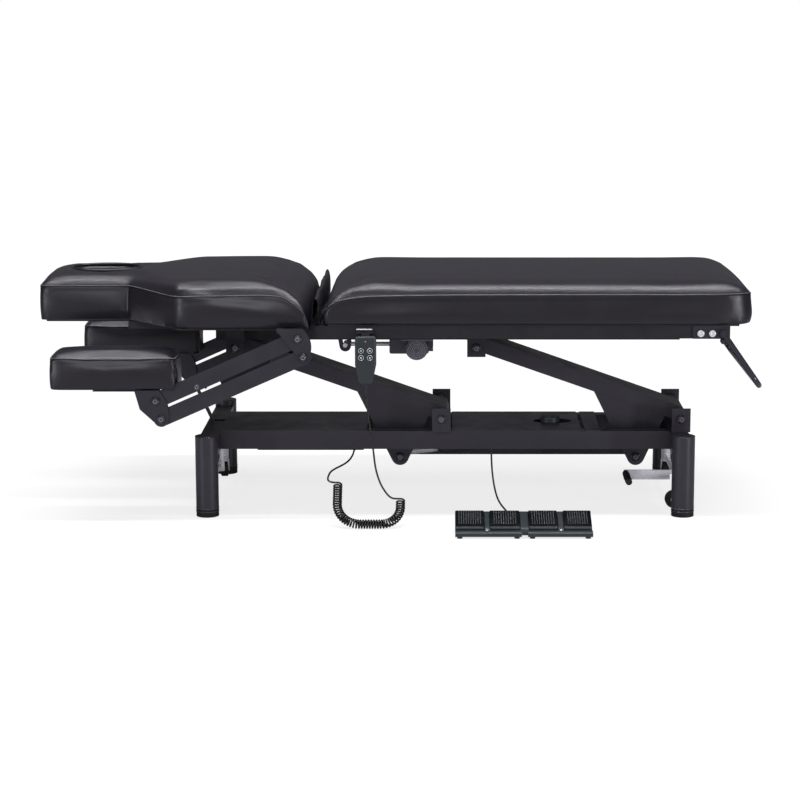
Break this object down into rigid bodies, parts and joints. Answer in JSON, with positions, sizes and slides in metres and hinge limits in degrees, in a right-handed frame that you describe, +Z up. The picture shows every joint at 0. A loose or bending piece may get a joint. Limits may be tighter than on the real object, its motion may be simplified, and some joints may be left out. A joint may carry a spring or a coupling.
{
  "type": "chiropractic table",
  "caption": "Electric chiropractic table with a height lift, raising backrest with a face hole, hanging armrests, roll bar, casters, handset and foot pedal.",
  "frame": {"origin": "on the floor, at the middle of the rectangle of the four legs", "axes": "+X along the table from the head end to the foot end, +Y from the side with the handset to the other side, +Z up"},
  "size_m": [1.9435, 0.912, 0.64],
  "materials": {
    "frame_paint": "satin black powder coat",
    "upholstery": "black vinyl upholstery with a soft sheen",
    "board": "black stained plywood",
    "foot_rubber": "matt black",
    "dark_steel": "blackened steel",
    "bright_steel": "bright plated steel",
    "wheel_rubber": "black",
    "black_plastic": "fine-grained black plastic",
    "button_grey": "dark grey with white arrows",
    "pedal_top": "glossy black with raised dots",
    "lead_sheath": "black cable sheath",
    "gloss_paint": "glossy black"
  },
  "bodies": {
    "base": {"base_frame": "frame_paint", "legs": "frame_paint", "leg_feet": "foot_rubber", "beam_covers": "frame_paint", "base_pivot_pins": "dark_steel", "control_box": "black_plastic", "pedal_housing": "black_plastic", "handset_lead_base": "lead_sheath", "pedal_lead": "lead_sheath"},
    "lift_arm_head_body": {"lift_arm_head": "frame_paint"},
    "lift_arm_foot_body": {"lift_arm_foot": "frame_paint"},
    "tie_bar_body": {"tie_bar": "frame_paint"},
    "lift_motor_body": {"lift_motor": "black_plastic"},
    "lift_rod_body": {"lift_rod": "dark_steel"},
    "top_frame": {"carrier_frame": "frame_paint", "upper_pins": "dark_steel", "leg_frame": "frame_paint", "leg_board": "board", "leg_cushion": "upholstery", "hinge_flap": "upholstery", "back_motor": "black_plastic", "roll_bar_plates": "frame_paint", "handset_shell": "black_plastic", "handset_holder": "bright_steel", "handset_lead": "lead_sheath", "handset_lead_curl": "lead_sheath"},
    "backrest": {"back_frame": "frame_paint", "back_board": "board", "back_cushion": "upholstery", "armrest_plates": "frame_paint"},
    "back_rod_body": {"back_rod": "dark_steel"},
    "roll_bar_body": {"roll_bar": "gloss_paint"},
    "carriage_head": {"caster_carriage_head": "bright_steel"},
    "carriage_foot": {"caster_carriage_foot": "bright_steel"},
    "lever_head": {"caster_lever_head": "bright_steel"},
    "lever_foot": {"caster_lever_foot": "bright_steel"},
    "upper_link_near": {"armrest_upper_link_near": "frame_paint"},
    "lower_link_near": {"armrest_lower_link_near": "frame_paint"},
    "armrest_near": {"armrest_bracket_near": "frame_paint", "armrest_pad_near": "upholstery"},
    "upper_link_far": {"armrest_upper_link_far": "frame_paint"},
    "lower_link_far": {"armrest_lower_link_far": "frame_paint"},
    "armrest_far": {"armrest_bracket_far": "frame_paint", "armrest_pad_far": "upholstery"},
    "fork_near_head": {"caster_fork_near_head": "bright_steel"},
    "wheel_near_head": {"caster_wheel_near_head": "wheel_rubber"},
    "fork_near_foot": {"caster_fork_near_foot": "bright_steel"},
    "wheel_near_foot": {"caster_wheel_near_foot": "wheel_rubber"},
    "fork_far_head": {"caster_fork_far_head": "bright_steel"},
    "wheel_far_head": {"caster_wheel_far_head": "wheel_rubber"},
    "fork_far_foot": {"caster_fork_far_foot": "bright_steel"},
    "wheel_far_foot": {"caster_wheel_far_foot": "wheel_rubber"},
    "button_back_up": {"handset_button_back_up": "button_grey"},
    "button_height_up": {"handset_button_height_up": "button_grey"},
    "button_back_down": {"handset_button_back_down": "button_grey"},
    "button_height_down": {"handset_button_height_down": "button_grey"},
    "pad_1": {"pedal_pad_1": "pedal_top"},
    "pad_2": {"pedal_pad_2": "pedal_top"},
    "pad_3": {"pedal_pad_3": "pedal_top"},
    "pad_4": {"pedal_pad_4": "pedal_top"}
  },
  "joints": [
    {"name": "lift", "type": "hinge", "parent": "base", "child": "lift_arm_head_body", "pos_m": [-0.01, 0, 0.241], "axis": [0, 1, 0], "range_deg": [0, 28]},
    {"name": "lift_arm_foot_turn", "type": "hinge", "parent": "base", "child": "lift_arm_foot_body", "pos_m": [0.645, 0, 0.241], "axis": [0, 1, 0], "range_deg": [0, 28]},
    {"name": "top_frame_level", "type": "hinge", "parent": "lift_arm_head_body", "child": "top_frame", "pos_m": [-0.57, 0, 0.4375], "axis": [0, 1, 0], "range_deg": [-28, 0]},
    {"name": "tie_bar_turn", "type": "hinge", "parent": "lift_arm_head_body", "child": "tie_bar_body", "pos_m": [-0.12501, 0, 0.11709], "axis": [0, 1, 0], "range_deg": [-28, 0]},
    {"name": "lift_motor_tilt", "type": "hinge", "parent": "base", "child": "lift_motor_body", "pos_m": [0.388, 0, 0.18], "axis": [0, 1, 0], "range_deg": [0, 7.6]},
    {"name": "lift_rod_slide", "type": "slide", "parent": "lift_motor_body", "child": "lift_rod_body", "axis": [-0.9926, 0, -0.1217], "range_m": [0, 0.042]},
    {"name": "backrest_raise", "type": "hinge", "parent": "top_frame", "child": "backrest", "pos_m": [-0.335, 0, 0.5], "axis": [0, 1, 0], "range_deg": [0, 32], "deforming": ["hinge_flap"]},
    {"name": "back_rod_slide", "type": "slide", "parent": "top_frame", "child": "back_rod_body", "axis": [-1, 0, 0], "range_m": [0, 0.0415]},
    {"name": "armrest_near", "type": "hinge", "parent": "backrest", "child": "upper_link_near", "pos_m": [-0.3878, -0.3405, 0.4915], "axis": [0, 1, 0], "range_deg": [-16, 5]},
    {"name": "lower_link_turn_near", "type": "hinge", "parent": "backrest", "child": "lower_link_near", "pos_m": [-0.3735, -0.3405, 0.4433], "axis": [0, 1, 0], "range_deg": [-16, 5]},
    {"name": "armrest_level_near", "type": "hinge", "parent": "upper_link_near", "child": "armrest_near", "pos_m": [-0.76469, -0.3405, 0.32606], "axis": [0, 1, 0], "range_deg": [-5, 16]},
    {"name": "armrest_far", "type": "hinge", "parent": "backrest", "child": "upper_link_far", "pos_m": [-0.3878, 0.3405, 0.4915], "axis": [0, 1, 0], "range_deg": [-16, 5]},
    {"name": "lower_link_turn_far", "type": "hinge", "parent": "backrest", "child": "lower_link_far", "pos_m": [-0.3735, 0.3405, 0.4433], "axis": [0, 1, 0], "range_deg": [-16, 5]},
    {"name": "armrest_level_far", "type": "hinge", "parent": "upper_link_far", "child": "armrest_far", "pos_m": [-0.76469, 0.3405, 0.32606], "axis": [0, 1, 0], "range_deg": [-5, 16]},
    {"name": "roll_bar_swing", "type": "hinge", "parent": "top_frame", "child": "roll_bar_body", "pos_m": [0.736, 0, 0.501], "axis": [0, -1, 0], "range_deg": [0, 50]},
    {"name": "foot_lever_press", "type": "hinge", "parent": "base", "child": "lever_foot", "pos_m": [0.674, -0.073, 0.066], "axis": [0, -1, 0], "range_deg": [0, 24]},
    {"name": "foot_casters_down", "type": "slide", "parent": "base", "child": "carriage_foot", "axis": [0, 0, -1], "range_m": [0, 0.0153]},
    {"name": "head_lever_press", "type": "hinge", "parent": "base", "child": "lever_head", "pos_m": [-0.64, 0.018, 0.18], "axis": [0, 1, 0], "range_deg": [0, 60]},
    {"name": "head_casters_down", "type": "slide", "parent": "base", "child": "carriage_head", "axis": [0, 0, -1], "range_m": [0, 0.0141]},
    {"name": "swivel_near_head", "type": "hinge", "parent": "carriage_head", "child": "fork_near_head", "pos_m": [-0.64, -0.195, 0.06], "axis": [0, 0, 1], "continuous": true},
    {"name": "spin_near_head", "type": "hinge", "parent": "fork_near_head", "child": "wheel_near_head", "pos_m": [-0.63324, -0.2095, 0.027], "axis": [0.9063, 0.4226, 0], "continuous": true},
    {"name": "swivel_near_foot", "type": "hinge", "parent": "carriage_foot", "child": "fork_near_foot", "pos_m": [0.64, -0.195, 0.06], "axis": [0, 0, 1], "continuous": true},
    {"name": "spin_near_foot", "type": "hinge", "parent": "fork_near_foot", "child": "wheel_near_foot", "pos_m": [0.624, -0.195, 0.027], "axis": [0, -1, 0], "continuous": true},
    {"name": "swivel_far_head", "type": "hinge", "parent": "carriage_head", "child": "fork_far_head", "pos_m": [-0.64, 0.195, 0.06], "axis": [0, 0, 1], "continuous": true},
    {"name": "spin_far_head", "type": "hinge", "parent": "fork_far_head", "child": "wheel_far_head", "pos_m": [-0.64, 0.211, 0.027], "axis": [-1, 0, 0], "continuous": true},
    {"name": "swivel_far_foot", "type": "hinge", "parent": "carriage_foot", "child": "fork_far_foot", "pos_m": [0.64, 0.195, 0.06], "axis": [0, 0, 1], "continuous": true},
    {"name": "spin_far_foot", "type": "hinge", "parent": "fork_far_foot", "child": "wheel_far_foot", "pos_m": [0.64, 0.211, 0.027], "axis": [-1, 0, 0], "continuous": true},
    {"name": "press_back_up", "type": "slide", "parent": "top_frame", "child": "button_back_up", "axis": [0, 1, 0], "range_m": [0, 0.0015], "stiffness_N_per_m": 400, "springref_m": -0.001},
    {"name": "press_height_up", "type": "slide", "parent": "top_frame", "child": "button_height_up", "axis": [0, 1, 0], "range_m": [0, 0.0015], "stiffness_N_per_m": 400, "springref_m": -0.001},
    {"name": "press_back_down", "type": "slide", "parent": "top_frame", "child": "button_back_down", "axis": [0, 1, 0], "range_m": [0, 0.0015], "stiffness_N_per_m": 400, "springref_m": -0.001},
    {"name": "press_height_down", "type": "slide", "parent": "top_frame", "child": "button_height_down", "axis": [0, 1, 0], "range_m": [0, 0.0015], "stiffness_N_per_m": 400, "springref_m": -0.001},
    {"name": "pedal_1_press", "type": "hinge", "parent": "base", "child": "pad_1", "pos_m": [0.064, -0.438, 0.0432], "axis": [1, 0, 0], "range_deg": [0, 3], "stiffness_Nm_per_rad": 20, "springref_deg": -1.15},
    {"name": "pedal_2_press", "type": "hinge", "parent": "base", "child": "pad_2", "pos_m": [0.1555, -0.438, 0.0432], "axis": [1, 0, 0], "range_deg": [0, 3], "stiffness_Nm_per_rad": 20, "springref_deg": -1.15},
    {"name": "pedal_3_press", "type": "hinge", "parent": "base", "child": "pad_3", "pos_m": [0.255, -0.438, 0.0432], "axis": [1, 0, 0], "range_deg": [0, 3], "stiffness_Nm_per_rad": 20, "springref_deg": -1.15},
    {"name": "pedal_4_press", "type": "hinge", "parent": "base", "child": "pad_4", "pos_m": [0.345, -0.438, 0.0432], "axis": [1, 0, 0], "range_deg": [0, 3], "stiffness_Nm_per_rad": 20, "springref_deg": -1.15}
  ],
  "couplings": [
    {"joint": "lift_arm_foot_turn", "follows": "lift", "ratio": 1},
    {"joint": "top_frame_level", "follows": "lift", "ratio": -1},
    {"joint": "tie_bar_turn", "follows": "lift", "ratio": -1},
    {"joint": "lift_motor_tilt", "follows": "lift", "ratio": 0.2675},
    {"joint": "lift_rod_slide", "follows": "lift", "m_per_rad": 0.08525},
    {"joint": "back_rod_slide", "follows": "backrest_raise", "m_per_rad": 0.0735},
    {"joint": "lower_link_turn_near", "follows": "armrest_near", "ratio": 1},
    {"joint": "armrest_level_near", "follows": "armrest_near", "ratio": -1},
    {"joint": "lower_link_turn_far", "follows": "armrest_far", "ratio": 1},
    {"joint": "armrest_level_far", "follows": "armrest_far", "ratio": -1},
    {"joint": "foot_casters_down", "follows": "foot_lever_press", "m_per_rad": 0.03629},
    {"joint": "head_casters_down", "follows": "head_lever_press", "m_per_rad": 0.01337}
  ]
}
